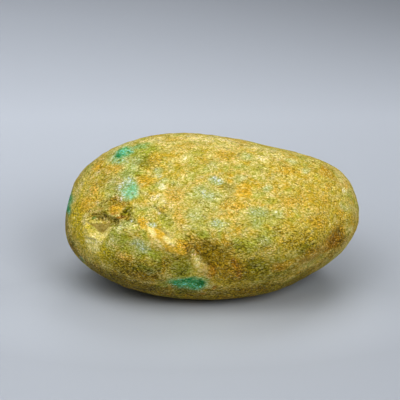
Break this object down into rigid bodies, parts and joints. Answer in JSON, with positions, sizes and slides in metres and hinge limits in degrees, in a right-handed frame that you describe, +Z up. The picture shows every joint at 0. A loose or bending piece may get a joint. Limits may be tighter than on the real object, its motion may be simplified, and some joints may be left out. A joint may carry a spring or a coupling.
{
  "type": "jadeite pebble",
  "caption": "Long, river-worn jadeite pebble with softly flattened sides, an ochre and green speckled skin, and a chipped scar that runs into a low ridge near its left end.",
  "frame": {"origin": "middle of the stone's footprint, at the surface it rests on", "axes": "+X along its length to the right end as seen from the front, +Y to the back, +Z up out of the resting surface"},
  "size_m": [0.1188, 0.0774, 0.0629],
  "materials": {
    "jadeite_skin": "satin, fine-grained ochre rind with mint and emerald green, cream and rust patches"
  },
  "bodies": {
    "root": {"stone": "jadeite_skin"}
  },
  "joints": []
}
